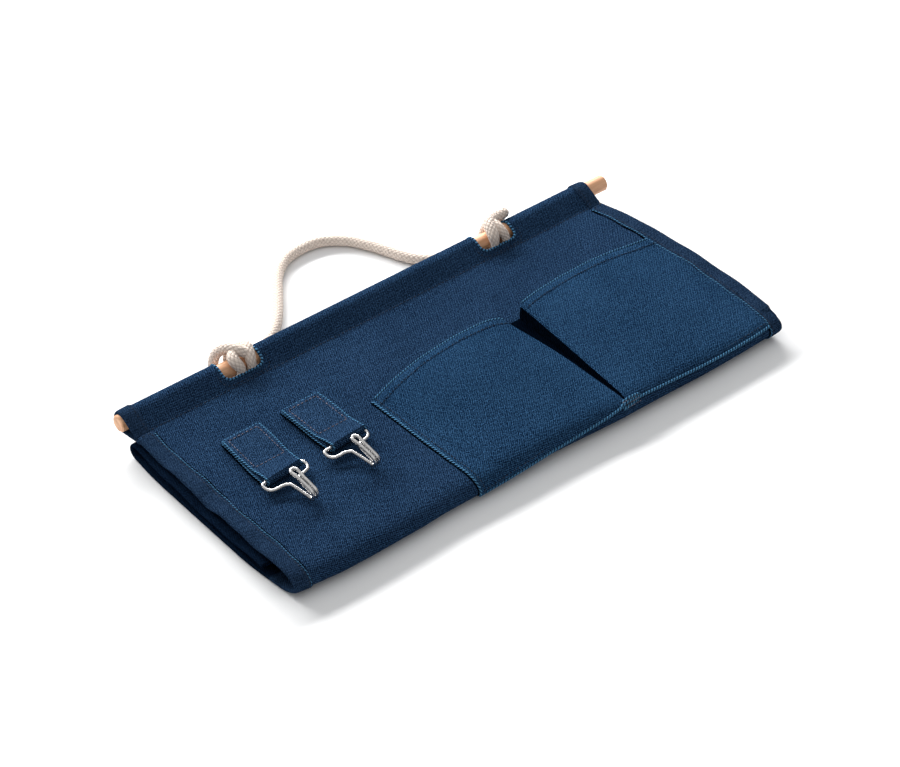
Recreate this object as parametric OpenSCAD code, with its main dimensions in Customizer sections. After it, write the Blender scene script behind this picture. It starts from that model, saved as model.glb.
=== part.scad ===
// Brush roll case: a canvas panel folded in three on a wooden dowel, with a rope
// handle, two strap tabs with wire hooks, and a pair of pleated pockets.
// Lengths are in millimetres. X runs along the dowel, +Y towards the dowel, +Z up.

/* [Canvas] */
// Width of the canvas between its side edges
panel_w = 410; // [300:5:520]
// Distance from the dowel's axis to the outside of the front fold
folded_depth = 192; // [150:1:260]
// Thickness of one layer of canvas
cloth_t = 1.4; // [0.8:0.1:2]
// Height of the top panel's upper face above the table
top_z = 18; // [14:0.5:24]
// Outside height of the rear fold
rear_fold_h = 10; // [7:0.5:12]
// Gap between the rear fold's outside and the dowel's axis
rear_fold_gap = 11; // [9:0.5:20]
// Length of the inner flap from the rear fold's centre line
flap_l = 150; // [100:1:152]
// How far the two lower layers stand out past the top one, to the left
lower_shift = 7; // [0:1:12]
// Width of the hem at the inner flap's free end
flap_hem_w = 12; // [8:1:20]

/* [Binding] */
// Width of the binding tape on each face
tape_w = 11; // [8:0.5:16]
// Thickness of the binding tape
tape_t = 0.6; // [0.4:0.1:1]

/* [Dowel and sleeve] */
// Radius of the dowel
dowel_r = 6; // [4:0.25:9]
// Length of the dowel
dowel_l = 432; // [320:1:560]
// How far the dowel is pushed to the right of the canvas's middle
dowel_shift = 8; // [-10:1:12]
// Chamfer at the dowel's ends
dowel_chamfer = 0.8; // [0.3:0.1:1.5]
// Height of the dowel's axis above the table
dowel_z = 20; // [18:0.5:24]
// Radial clearance of the sleeve and of the knots on the dowel
running_gap = 0.06; // [0.02:0.01:0.1]
// Distance of the sleeve's stitch line in front of the dowel's axis
sleeve_seam = 17; // [14:0.5:24]
// Distance from the canvas's middle to a notch's inner wall
notch_in = 97; // [70:1:120]
// Width of a notch
notch_w = 32; // [26:1:44]
// Depth of a notch in front of the dowel's axis
notch_depth = 12; // [11.9:0.1:14]
// Width of the hem around a notch
notch_hem = 1.2; // [0.8:0.1:2]

/* [Rope] */
// Radius of the handle rope
rope_r = 4; // [2.5:0.25:5]
// Thickness of a rope turn squeezed on the dowel
turn_t = 5.5; // [4:0.1:5.6]

/* [Strap tabs and hooks] */
// Width of a strap tab
tab_w = 29; // [20:1:40]
// Distance of the left tab's middle from the canvas's middle
tab_left_x = -152; // [-180:1:-140]
// Distance of the right tab's middle from the canvas's middle
tab_right_x = -102; // [-108:1:-90]
// Distance of a tab's rear edge in front of the dowel's axis
tab_start = 58; // [45:1:70]
// Length of the tab's part that is sewn down
tab_sewn_l = 36.6; // [28:0.1:45]
// Distance from the loop's hinge line to the hook's bar
loop_reach = 12; // [9:0.5:16]
// Thickness of a tab, two layers of strap
tab_t = 2.6; // [1.6:0.1:3.2]
// Radius of the hook's wire
wire_r = 1.3; // [1:0.05:1.6]
// Wall around the hook's bar
loop_wall = 1.6; // [1:0.1:2]
// Distance from the hook's bar to its tip
hook_l = 32; // [28:0.5:38]

/* [Pockets] */
// Left side of the left pocket
pocket_a0 = -65; // [-75:1:-55]
// Right side of the left pocket
pocket_a1 = 64; // [40:1:68]
// Left side of the right pocket
pocket_b0 = 79; // [74:1:100]
// Distance of the left pocket's mouth in front of the dowel's axis
mouth_a = 85; // [70:1:110]
// Distance of the right pocket's mouth in front of the dowel's axis
mouth_b = 73; // [60:1:110]
// Height of a pocket at its mouth
pocket_h = 8; // [7:0.5:14]
// Height of a pocket at its bottom seam
pocket_low = 2.4; // [2:0.1:4]
// Thickness of the pocket cloth
pocket_t = 1.2; // [0.8:0.1:1.6]
// Width of the pocket hems
hem_w = 8; // [5:0.5:12]
// Thickness of the seam threads
thread_t = 0.4; // [0.2:0.1:0.6]

/* [Hidden] */
$fn = 64;
eps = 0.01;
half_w = panel_w / 2;
fold_r = top_z / 2;
fold_y = -folded_depth + fold_r;
rear_r = rear_fold_h / 2;
rear_y = -rear_fold_gap - rear_r;
low_left = -half_w - lower_shift;
low_right = half_w - lower_shift;
bore_r = dowel_r + running_gap;
sleeve_r = bore_r + cloth_t;
dowel_x0 = dowel_shift - dowel_l / 2;
dowel_x1 = dowel_shift + dowel_l / 2;
under_z = top_z - cloth_t;
crown_y = -4.6;
crown_z = dowel_z + 5.9;
belly_y = -3;
belly_z = dowel_z - 6.85;
notch_mid = notch_in + notch_w / 2;
turn_w = 7.6;
turn_gap = 5.2;
turn_cut = 1.4;
loop_gap = 0.3;
hinge_y = -tab_start - tab_sewn_l - tab_t / 2 - loop_gap;
hinge_z = top_z + loop_gap + tab_t / 2;
bar_y = hinge_y - loop_reach;
loop_r = wire_r + 0.07 + loop_wall;
bar_z = top_z + loop_gap + loop_r;
pocket_b1 = half_w - tape_w + tape_t;
stitch_w = 0.8;
stitch_in = 3;
tack_l = 14;
middle_x = (low_left - tape_t + dowel_x1) / 2;
middle_y = (sleeve_r + tape_t - folded_depth) / 2;

// route of the handle rope from the left knot to the right one
route = [
    [-112, 8, 12.5], [-106, 10.6, 9.6], [-99, 13.4, 6.8], [-89, 16.4, 4.8], [-77, 20, 4.2],
    [-66, 25.5, 4.2], [-57, 32.5, 4.2], [-50, 39.4, 4.2], [-43, 48, 4.2], [-36, 57.4, 4.2],
    [-29, 67, 4.2], [-22, 76.5, 4.2], [-13.5, 85, 4.2], [-4, 91.4, 4.2], [4, 94.2, 4.2],
    [13, 95.4, 4.2], [22, 95.2, 4.2], [30, 93.2, 4.2], [37, 89, 4.2], [43, 84, 4.2],
    [48, 78.5, 4.2], [52, 71.5, 4.2], [56, 63.8, 4.2], [59, 56.5, 4.2], [62, 48.5, 4.2],
    [65, 41, 4.2], [69, 33.5, 4.2], [75, 26.5, 4.2], [83, 20.8, 4.2], [92, 16.8, 4.8],
    [100, 13.6, 6.8], [106.5, 10.6, 9.6], [112, 8, 12.5]
];
// route of the strand that stands out behind each knot
left_strand = [
    [-107.8, 6.4, 29], [-110.5, 7.2, 31.2], [-114.5, 8.8, 32.2], [-118, 11.5, 30.8],
    [-120.5, 14, 27.5], [-121.8, 15.4, 23], [-122, 15, 18], [-120, 12.6, 14.5], [-117.5, 9, 12.6]
];
right_strand = [
    [112, 6, 29.4], [116, 7.6, 31], [120, 8.4, 31.2], [124.5, 9.4, 30.6], [129.5, 10.4, 29.2],
    [133.5, 12, 26.8], [135, 14, 23], [133, 15.2, 18.5], [127, 13.6, 14.5], [120.5, 9.4, 12.8]
];
route_sides = 10;
bar_half = tab_w / 2;
tip_y = -hook_l;
tip_z = top_z + loop_gap + wire_r - bar_z;

// direction of a route at one of its points
function heading(way, i) =
    let (d = way[min(i + 1, len(way) - 1)] - way[max(i - 1, 0)]) d / norm(d);
// the first side vector of a ring, square to the route and nearest to the previous one
function first_side(d) = let (c = cross(d, abs(d[2]) > 0.9 ? [0, 1, 0] : [0, 0, 1])) c / norm(c);
function turned(u, d) = let (c = u - (u * d) * d) c / norm(c);
function sides(way, i = 0, u = undef) =
    let (d = heading(way, i), w = is_undef(u) ? first_side(d) : turned(u, d))
    i == len(way) - 1 ? [w] : concat([w], sides(way, i + 1, w));
function ring_at(p, d, u, r, n) =
    let (v = cross(u, d))
    [for (k = [0 : n - 1]) p + r * (cos(k * 360 / n) * u + sin(k * 360 / n) * v)];
function skin_faces(rings, n) = concat(
    [[for (k = [n - 1 : -1 : 0]) k]],
    [for (i = [0 : rings - 2]) for (k = [0 : n - 1])
        [i * n + k, i * n + (k + 1) % n, (i + 1) * n + (k + 1) % n, (i + 1) * n + k]],
    [[for (k = [0 : n - 1]) (rings - 1) * n + k]]
);

// a round tube along a route
module tube(way, r, n) {
    u = sides(way);
    polyhedron(
        points = [for (i = [0 : len(way) - 1]) each ring_at(way[i], heading(way, i), u[i], r, n)],
        faces = skin_faces(len(way), n)
    );
}

// moves the design frame so that the origin is under the middle of the case
module placed() {
    translate([-middle_x, -middle_y, 0]) children();
}

// a box given by its two opposite corners
module block(a, b) {
    translate(a) cube([b[0] - a[0], b[1] - a[1], b[2] - a[2]]);
}

// a prism along X with its outline in Y and Z
module along_x(x0, x1, outline) {
    translate([x0, 0, 0])
        rotate([90, 0, 90])
            linear_extrude(x1 - x0) polygon(outline);
}

// a cylinder along X
module bar_x(x0, x1, y, z, r) {
    translate([x0, y, z]) rotate([0, 90, 0]) cylinder(h = x1 - x0, r = r);
}

// a layer of canvas whose two bound edges are thinned for the tape
module layer(x0, x1, y0, y1, z0) {
    block([x0 + tape_w - tape_t, y0, z0], [x1 - tape_w + tape_t, y1, z0 + cloth_t]);
    block([x0, y0, z0 + tape_t / 2], [x1, y1, z0 + cloth_t - tape_t / 2]);
}

// tape folded round one edge of a layer, open to the side given by toward
module edge_tape(x, toward, y0, y1, z0) {
    rim = x - toward * tape_t;
    lip = x + toward * (tape_w - tape_t);
    difference() {
        block([min(rim, lip), y0, z0], [max(rim, lip), y1, z0 + cloth_t]);
        block([min(x, lip + toward), y0 - 1, z0 + tape_t / 2],
              [max(x, lip + toward), y1 + 1, z0 + cloth_t - tape_t / 2]);
    }
}

// half a roll of canvas about an axis along X, opening towards side
module half_roll(x0, x1, y, z, r, side) {
    difference() {
        bar_x(x0, x1, y, z, r);
        bar_x(x0 - 1, x1 + 1, y, z, r - cloth_t);
        block([x0 - 1, min(y, y + side * 2 * r), z - 2 * r],
              [x1 + 1, max(y, y + side * 2 * r), z + 2 * r]);
    }
}

module bottom_panel() {
    color("#1d3f66") placed() layer(low_left, low_right, fold_y, rear_y, 0);
}

module bottom_left_binding() {
    color("#2c5682") placed() edge_tape(low_left, 1, fold_y, rear_y, 0);
}

module bottom_right_binding() {
    color("#2c5682") placed() edge_tape(low_right, -1, fold_y, rear_y, 0);
}

module front_fold() {
    color("#1d3f66") placed() half_roll(-half_w, half_w, fold_y, fold_r, fold_r, 1);
}

module rear_fold() {
    color("#1d3f66") placed() half_roll(low_left, low_right, rear_y, rear_r, rear_r, -1);
}

module inner_flap() {
    color("#1d3f66") placed()
        layer(low_left, low_right, rear_y - flap_l, rear_y, rear_fold_h - cloth_t);
}

module flap_left_binding() {
    color("#2c5682") placed()
        edge_tape(low_left, 1, rear_y - flap_l, rear_y, rear_fold_h - cloth_t);
}

module flap_right_binding() {
    color("#2c5682") placed()
        edge_tape(low_right, -1, rear_y - flap_l, rear_y, rear_fold_h - cloth_t);
}

module flap_hem() {
    color("#24497a") placed()
        block([low_left + tape_w, rear_y - flap_l, rear_fold_h],
              [low_right - tape_w, rear_y - flap_l + flap_hem_w, rear_fold_h + tape_t]);
}

module top_panel() {
    color("#1d3f66") placed() layer(-half_w, half_w, fold_y, -sleeve_seam, under_z);
}

module top_left_binding() {
    color("#2c5682") placed() edge_tape(-half_w, 1, fold_y, -sleeve_seam, under_z);
}

module top_right_binding() {
    color("#2c5682") placed() edge_tape(half_w, -1, fold_y, -sleeve_seam, under_z);
}

// the sleeve's outside, larger all round by more
module sleeve_body(x0, x1, more) {
    bar_x(x0, x1, 0, dowel_z, sleeve_r + more);
    along_x(x0, x1, [
        [-sleeve_seam, under_z - cloth_t - more], [belly_y, belly_z - more],
        [0, dowel_z], [crown_y, crown_z + more], [-sleeve_seam, top_z + more]
    ]);
}

// the space of one notch, larger all round by more
module notch_space(mid, more) {
    block([mid - notch_w / 2 - more, -notch_depth - more, 0],
          [mid + notch_w / 2 + more, 3 * dowel_r, 3 * top_z]);
}

module sleeve_bore() {
    bar_x(-panel_w, panel_w, 0, dowel_z, bore_r);
}

// one stretch of the sleeve, open at the notches
module sleeve_stretch(x0, x1) {
    difference() {
        sleeve_body(x0, x1, 0);
        sleeve_bore();
        notch_space(-notch_mid, notch_hem);
        notch_space(notch_mid, notch_hem);
    }
}

module left_sleeve() {
    color("#1d3f66") placed() sleeve_stretch(-half_w, -notch_mid);
}

module middle_sleeve() {
    color("#1d3f66") placed() sleeve_stretch(-notch_mid, notch_mid);
}

module right_sleeve() {
    color("#1d3f66") placed() sleeve_stretch(notch_mid, half_w);
}

module sleeve_binding(x0, x1) {
    difference() {
        sleeve_body(x0, x1, tape_t);
        sleeve_body(x0 - 1, x1 + 1, 0);
    }
}

module left_sleeve_binding() {
    color("#2c5682") placed() sleeve_binding(-half_w, -half_w + tape_w);
}

module right_sleeve_binding() {
    color("#2c5682") placed() sleeve_binding(half_w - tape_w, half_w);
}

// the hemmed edge that lines a notch
module notch_hem_at(mid) {
    difference() {
        intersection() {
            sleeve_body(-half_w, half_w, 0);
            notch_space(mid, notch_hem);
        }
        notch_space(mid, 0);
        sleeve_bore();
    }
}

module left_notch_hem() {
    color("#3a6ea5") placed() notch_hem_at(-notch_mid);
}

module right_notch_hem() {
    color("#3a6ea5") placed() notch_hem_at(notch_mid);
}

module sleeve_seam_thread() {
    color("#3a6ea5") placed()
        block([-half_w + tape_w, -sleeve_seam - stitch_w, top_z],
              [half_w - tape_w, -sleeve_seam, top_z + thread_t]);
}

// a pocket open towards the dowel, rising from its bottom seam to its mouth
module pocket(x0, x1, mouth) {
    in_z = top_z + pocket_h - pocket_t;
    difference() {
        along_x(x0, x1, [
            [fold_y, top_z], [-mouth, top_z],
            [-mouth, top_z + pocket_h], [fold_y, top_z + pocket_low]
        ]);
        along_x(x0 + pocket_t, x1 - pocket_t, [
            [fold_y + pocket_t, top_z - 1], [-mouth + 1, top_z - 1],
            [-mouth + 1, in_z], [fold_y + pocket_t, top_z + pocket_low - pocket_t]
        ]);
    }
}

// the doubled cloth along a pocket's mouth
module mouth_hem(x0, x1, mouth) {
    drop = (pocket_h - pocket_low) * hem_w / (-fold_y - mouth);
    along_x(x0, x1, [
        [-mouth - hem_w, top_z + pocket_h - drop], [-mouth, top_z + pocket_h],
        [-mouth, top_z + pocket_h + thread_t], [-mouth - hem_w, top_z + pocket_h - drop + thread_t]
    ]);
}

module left_pocket() {
    color("#1d3f66") placed() pocket(pocket_a0, pocket_a1, mouth_a);
}

module right_pocket() {
    color("#1d3f66") placed() pocket(pocket_b0, pocket_b1, mouth_b);
}

module left_mouth_hem() {
    color("#24497a") placed() mouth_hem(pocket_a0, pocket_a1, mouth_a);
}

module right_mouth_hem() {
    color("#24497a") placed() mouth_hem(pocket_b0, pocket_b1, mouth_b);
}

module pocket_divider() {
    color("#16324f") placed()
        block([pocket_a1, fold_y, top_z], [pocket_b0, -mouth_a, top_z + pocket_t]);
}

module divider_tack() {
    color("#3a6ea5") placed()
        block([pocket_a1 + 1, fold_y + 1, top_z + pocket_t],
              [pocket_b0 - 1, fold_y + 1 + tack_l / 4, top_z + pocket_t + thread_t]);
}

module tab(mid) {
    block([mid - tab_w / 2, -tab_start - tab_sewn_l, top_z],
          [mid + tab_w / 2, -tab_start, top_z + tab_t]);
}

// the rectangle of stitches that holds a tab
module tab_stitching(mid) {
    z0 = top_z + tab_t;
    side = tab_w / 2 - stitch_in;
    y0 = -tab_start - tab_sewn_l + stitch_in;
    y1 = -tab_start - stitch_in;
    difference() {
        block([mid - side, y0, z0], [mid + side, y1, z0 + thread_t]);
        block([mid - side + stitch_w, y0 + stitch_w, z0 - 1],
              [mid + side - stitch_w, y1 - stitch_w, z0 + 1]);
    }
}

// the free end of a strap, looped round the hook's bar
module tab_loop(mid) {
    x0 = mid - tab_w / 2;
    x1 = mid + tab_w / 2;
    difference() {
        union() {
            bar_x(x0, x1, hinge_y, hinge_z, tab_t / 2);
            block([x0, bar_y, hinge_z - tab_t / 2], [x1, hinge_y, hinge_z + tab_t / 2]);
            bar_x(x0, x1, bar_y, bar_z, loop_r);
        }
        bar_x(x0 - 1, x1 + 1, bar_y, bar_z, wire_r + 0.07);
    }
}

module left_tab() {
    color("#234a75") placed() tab(tab_left_x);
}

module right_tab() {
    color("#234a75") placed() tab(tab_right_x);
}

module left_tab_stitching() {
    color("#3a6ea5") placed() tab_stitching(tab_left_x);
}

module right_tab_stitching() {
    color("#3a6ea5") placed() tab_stitching(tab_right_x);
}

module left_tab_loop() {
    color("#234a75") placed() tab_loop(tab_left_x);
}

module right_tab_loop() {
    color("#234a75") placed() tab_loop(tab_right_x);
}

// the middle line of one half of the hook's wire, from the bar to the bill's closed end
function wire_half(s) = [
    [s * bar_half, 0, 0], [s * (bar_half + 1.6), -0.3, 0], [s * (bar_half + 2.4), -2, -0.2],
    [s * (bar_half + 2.4), -5, -0.6], [s * (bar_half + 0.6), -7.8, -0.8], [s * 11.6, -9, -0.6],
    [s * 7.4, -9.8, -0.2], [s * 4.6, -11.4, 0], [s * 3.2, -13.6, 0], [s * 1.7, tip_y + 6, tip_z + 0.3],
    [s * 1.6, tip_y + 2, tip_z], [s * 1.6, tip_y + 0.6, tip_z + 0.8],
    [s * 1.6, tip_y, tip_z + 2.8], [s * 1.6, tip_y + 0.3, tip_z + 4.8],
    [s * 1.6, tip_y + 1.8, tip_z + 6.6], [s * 1.7, -20, 7.8], [s * 2.2, -13.4, 9.2],
    [s * 2.1, -12, 9.4], [s * 1.4, -10.7, 9.5]
];
wire_route = concat(
    wire_half(-1), [[0, -10.2, 9.6]],
    [for (i = [len(wire_half(1)) - 1 : -1 : 0]) wire_half(1)[i]]
);

module hook(mid) {
    translate([mid, bar_y, bar_z]) {
        bar_x(-bar_half - 1, bar_half + 1, 0, 0, wire_r);
        tube(wire_route, wire_r - 0.05, 8);
    }
}

module left_hook() {
    color("#d9dadb") placed() hook(tab_left_x);
}

module right_hook() {
    color("#d9dadb") placed() hook(tab_right_x);
}

module dowel() {
    color("#dcb48c") placed() translate([dowel_x0, 0, dowel_z]) rotate([0, 90, 0]) {
        cylinder(h = dowel_chamfer, r1 = dowel_r - dowel_chamfer, r2 = dowel_r);
        translate([0, 0, dowel_chamfer]) cylinder(h = dowel_l - 2 * dowel_chamfer, r = dowel_r);
        translate([0, 0, dowel_l - dowel_chamfer])
            cylinder(h = dowel_chamfer, r1 = dowel_r, r2 = dowel_r - dowel_chamfer);
    }
}

// one turn of rope squeezed flat round the dowel
module turn(x) {
    translate([x, 0, dowel_z]) rotate([0, 90, 0]) rotate_extrude() polygon([
        [bore_r, -turn_w / 2], [bore_r + turn_t - turn_cut, -turn_w / 2],
        [bore_r + turn_t, -turn_w / 2 + turn_cut], [bore_r + turn_t, turn_w / 2 - turn_cut],
        [bore_r + turn_t - turn_cut, turn_w / 2], [bore_r, turn_w / 2]
    ]);
}

// two turns of rope side by side on the dowel
module knot(mid) {
    turn(mid - turn_gap);
    turn(mid + turn_gap);
}

module left_knot() {
    color("#ebdfcd") placed() knot(-notch_mid);
}

module right_knot() {
    color("#ebdfcd") placed() knot(notch_mid);
}

module left_bight() {
    color("#ebdfcd") placed() tube(left_strand, rope_r, route_sides);
}

module right_bight() {
    color("#ebdfcd") placed() tube(right_strand, rope_r, route_sides);
}

module rope_handle() {
    color("#ebdfcd") placed() tube(route, rope_r, route_sides);
}

bottom_panel();
bottom_left_binding();
bottom_right_binding();
front_fold();
rear_fold();
inner_flap();
flap_left_binding();
flap_right_binding();
flap_hem();
top_panel();
top_left_binding();
top_right_binding();
left_sleeve();
middle_sleeve();
right_sleeve();
left_sleeve_binding();
right_sleeve_binding();
left_notch_hem();
right_notch_hem();
sleeve_seam_thread();
left_pocket();
right_pocket();
left_mouth_hem();
right_mouth_hem();
pocket_divider();
divider_tack();
left_tab();
right_tab();
left_tab_stitching();
right_tab_stitching();
left_tab_loop();
right_tab_loop();
left_hook();
right_hook();
dowel();
left_knot();
right_knot();
left_bight();
right_bight();
rope_handle();
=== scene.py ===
import math
import bpy
import numpy as np
from mathutils import Matrix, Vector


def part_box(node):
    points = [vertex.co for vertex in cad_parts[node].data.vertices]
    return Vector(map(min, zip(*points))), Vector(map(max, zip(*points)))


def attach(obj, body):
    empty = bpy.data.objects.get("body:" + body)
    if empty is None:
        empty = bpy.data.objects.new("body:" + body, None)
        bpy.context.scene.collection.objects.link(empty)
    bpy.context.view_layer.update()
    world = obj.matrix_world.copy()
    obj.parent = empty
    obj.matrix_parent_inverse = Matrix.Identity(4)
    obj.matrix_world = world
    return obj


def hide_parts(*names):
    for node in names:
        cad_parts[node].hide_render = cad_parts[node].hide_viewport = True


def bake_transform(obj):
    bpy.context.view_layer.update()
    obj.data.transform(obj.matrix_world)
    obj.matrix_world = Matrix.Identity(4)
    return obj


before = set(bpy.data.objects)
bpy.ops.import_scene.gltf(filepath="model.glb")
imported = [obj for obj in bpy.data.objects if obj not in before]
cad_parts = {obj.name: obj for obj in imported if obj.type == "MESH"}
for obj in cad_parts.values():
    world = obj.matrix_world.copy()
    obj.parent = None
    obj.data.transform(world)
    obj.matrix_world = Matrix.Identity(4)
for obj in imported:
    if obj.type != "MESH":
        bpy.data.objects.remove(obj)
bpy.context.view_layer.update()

# ---------------------------------------------------------------- design frame
# Shapes are worked out in millimetres with X along the dowel from the canvas's middle,
# Y from the dowel's axis and Z from the table, and turned into the row frame here.
DOWEL_Z = 20.0
dowel_lo, dowel_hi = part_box("dowel")
OFF_X = dowel_hi.x * 1000 - 224.0
OFF_Y = (dowel_lo.y + dowel_hi.y) * 500
HALF_W = 205.0
LOWER_SHIFT = 4.0
SEAM_Y, SEAM_Z = -17.2, 19.0
CLOTH_T = 1.2
POCKET_T = 0.85
SLEEVE_R = 7.6
SLEEVE_UNDER_Z = 15.2
FOOT_Z = 1.3
FRONT_SHEET_END_Y = -76
REAR_SHEET_END_Y = -108
REAR_FOLD_Y = -16.5
TAPE_W = 11.0
OVERLOCK_PITCH = 2.5
BRAID_PER_MM = 0.95
WIRE_R = 1.25
STRAP_HALF_W = 14.4
LEFT_STRAP_X, RIGHT_STRAP_X = -152.6, -102.6
CAMERA_SHIFT, CAMERA_RISE, CAMERA_AWAY = 57.89, -42.9, 1640.07


def row(p):
    p = np.asarray(p, float).reshape(-1, 3)
    return (p + [OFF_X, OFF_Y, 0.0]) * 0.001


# ---------------------------------------------------------------- camera
AZ, EL = math.radians(-40.0), math.radians(39.5)
right = np.array([math.cos(AZ), math.sin(AZ), 0.0])
back = np.array([math.sin(AZ) * math.cos(EL), -math.cos(AZ) * math.cos(EL), math.sin(EL)])
up = np.cross(back, right)
place = row(right * CAMERA_SHIFT + up * CAMERA_RISE + back * CAMERA_AWAY)[0]
cam_data = bpy.data.cameras.new("camera")
cam_data.sensor_width = 36.0
cam_data.lens = 93.24
cam_data.clip_end = 20.0
camera = bpy.data.objects.new("camera", cam_data)
bpy.context.scene.collection.objects.link(camera)
camera.matrix_world = Matrix(
    [[right[i], up[i], back[i], place[i]] for i in range(3)] + [[0, 0, 0, 1]]
)
bpy.context.scene.camera = camera


# ---------------------------------------------------------------- material helpers
def new_material(name):
    m = bpy.data.materials.new(name)
    m.use_nodes = True
    nt = m.node_tree
    return m, nt, nt.nodes["Principled BSDF"]


def link(nt, a, b):
    nt.links.new(a, b)


def math_node(nt, op, a, b=None, c=None):
    n = nt.nodes.new("ShaderNodeMath")
    n.operation = op
    for i, v in enumerate((a, b, c)):
        if v is None:
            continue
        if isinstance(v, (int, float)):
            n.inputs[i].default_value = v
        else:
            link(nt, v, n.inputs[i])
    return n.outputs[0]


def mix_colour(nt, factor, a, b):
    n = nt.nodes.new("ShaderNodeMix")
    n.data_type = "RGBA"
    link(nt, factor, n.inputs[0])
    for k, v in ((6, a), (7, b)):
        if isinstance(v, tuple):
            n.inputs[k].default_value = (*v, 1.0)
        else:
            link(nt, v, n.inputs[k])
    return n.outputs[2]


def noise(nt, vector, scale, detail=2.0, rough=0.5):
    n = nt.nodes.new("ShaderNodeTexNoise")
    n.inputs["Scale"].default_value = scale
    n.inputs["Detail"].default_value = detail
    n.inputs["Roughness"].default_value = rough
    link(nt, vector, n.inputs["Vector"])
    return n.outputs["Fac"]


def mapped(nt, vector, scale):
    n = nt.nodes.new("ShaderNodeMapping")
    n.inputs["Scale"].default_value = scale
    link(nt, vector, n.inputs["Vector"])
    return n.outputs[0]


def ramp(nt, value, lo, hi, to_lo=0.0, to_hi=1.0):
    n = nt.nodes.new("ShaderNodeMapRange")
    n.inputs[1].default_value = lo
    n.inputs[2].default_value = hi
    n.inputs[3].default_value = to_lo
    n.inputs[4].default_value = to_hi
    link(nt, value, n.inputs[0])
    return n.outputs[0]


def bump(nt, height, distance):
    n = nt.nodes.new("ShaderNodeBump")
    n.inputs["Strength"].default_value = 1.0
    n.inputs["Distance"].default_value = distance
    link(nt, height, n.inputs["Height"])
    return n.outputs[0]


def cloth_uv(nt):
    """The cloth's coordinates in mm, whole and as u and v."""
    uv = nt.nodes.new("ShaderNodeUVMap")
    uv.uv_map = "cloth"
    sep = nt.nodes.new("ShaderNodeSeparateXYZ")
    link(nt, uv.outputs[0], sep.inputs[0])
    return uv.outputs[0], sep.outputs[0], sep.outputs[1]


def wave(nt, value):
    return math_node(nt, "SINE", value)


def cloth_material(name, dark, light, pitch=1.75, slub=0.5, depth=0.0003):
    """Woven cloth: UV is in millimetres, pitch is the repeat of the weave."""
    m, nt, p = new_material(name)
    uv, u, v = cloth_uv(nt)
    k = 2 * math.pi / pitch
    wobble = noise(nt, mapped(nt, uv, (0.35, 0.35, 1.0)), 1.0, 2.0)
    drift = math_node(nt, "MULTIPLY", wobble, 2.2)
    warp = wave(nt, math_node(nt, "MULTIPLY_ADD", u, k, drift))
    weft = wave(nt, math_node(nt, "MULTIPLY_ADD", v, k * 1.12, drift))
    weave = math_node(nt, "MULTIPLY", warp, weft)
    grain = noise(nt, uv, 0.9, 2.0, 0.6)
    broad = noise(nt, uv, 0.02, 2.0, 0.5)
    along = noise(nt, mapped(nt, uv, (0.10, 1.2, 1.0)), 1.0, 2.0)
    across = noise(nt, mapped(nt, uv, (1.2, 0.10, 1.0)), 1.0, 2.0)
    tone = math_node(nt, "MULTIPLY_ADD", ramp(nt, weave, -0.6, 0.6), 0.46,
                     math_node(nt, "MULTIPLY", ramp(nt, grain, 0.36, 0.64), 0.40))
    tone = math_node(nt, "MULTIPLY_ADD", ramp(nt, along, 0.35, 0.65), 0.05 + 0.06 * slub, tone)
    tone = math_node(nt, "MULTIPLY_ADD", ramp(nt, across, 0.35, 0.65), 0.08, tone)
    tone = math_node(nt, "MULTIPLY_ADD", ramp(nt, broad, 0.3, 0.7, -0.5, 0.5), 0.07, tone)
    link(nt, mix_colour(nt, ramp(nt, tone, 0.34, 0.86), dark, light), p.inputs["Base Color"])
    link(nt, ramp(nt, grain, 0.3, 0.7, 0.85, 1.0), p.inputs["Roughness"])
    p.inputs["Specular IOR Level"].default_value = 0.0
    link(nt, bump(nt, math_node(nt, "MULTIPLY_ADD", grain, 0.9, weave), depth), p.inputs["Normal"])
    return m


canvas = cloth_material("canvas", (0.0008, 0.0050, 0.0175), (0.0400, 0.0950, 0.1950))
# the pockets' cloth is the canvas painted lighter and bluer: painted light, for the light the tilted pockets
# catch
canvas_pocket_painted_light = cloth_material("canvas_pocket_painted_light", (0.0008, 0.0068, 0.0240), (0.0420, 0.1180, 0.2400))
# near-black canvas: painted shade, laid where the cloth lies in deep shadow (the pleat gap, dark lines beside
# edges)
canvas_painted_deep_shade = cloth_material("canvas_painted_deep_shade", (0.0002, 0.0008, 0.0025), (0.0016, 0.0050, 0.0120))
# the inner layers' canvas, painted darker: painted shade on the layers under the top one
canvas_painted_shade = cloth_material("canvas_lower_painted_shade", (0.0003, 0.0015, 0.0060), (0.0045, 0.0150, 0.0380))
tape_mat = cloth_material("binding_tape", (0.0030, 0.0095, 0.0240), (0.0310, 0.0640, 0.1280),
                          pitch=1.6, slub=1.8, depth=0.00025)
# the binding tape painted darker: painted shade on the tape of the lower layers
tape_painted_shade = cloth_material("binding_tape_painted_shade", (0.0010, 0.0030, 0.0090), (0.0085, 0.0210, 0.0480),
                          pitch=1.6, slub=1.8, depth=0.00025)
strap_mat = cloth_material("strap", (0.0010, 0.0065, 0.0220), (0.0460, 0.1050, 0.2100), pitch=1.7, slub=1.0)


def thread_material(name, dark, light):
    m, nt, p = new_material(name)
    tc = nt.nodes.new("ShaderNodeTexCoord")
    n = noise(nt, tc.outputs["Object"], 900.0, 2.0)
    link(nt, mix_colour(nt, ramp(nt, n, 0.35, 0.65), dark, light), p.inputs["Base Color"])
    p.inputs["Roughness"].default_value = 0.85
    p.inputs["Specular IOR Level"].default_value = 0.06
    link(nt, bump(nt, n, 0.0001), p.inputs["Normal"])
    return m


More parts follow.
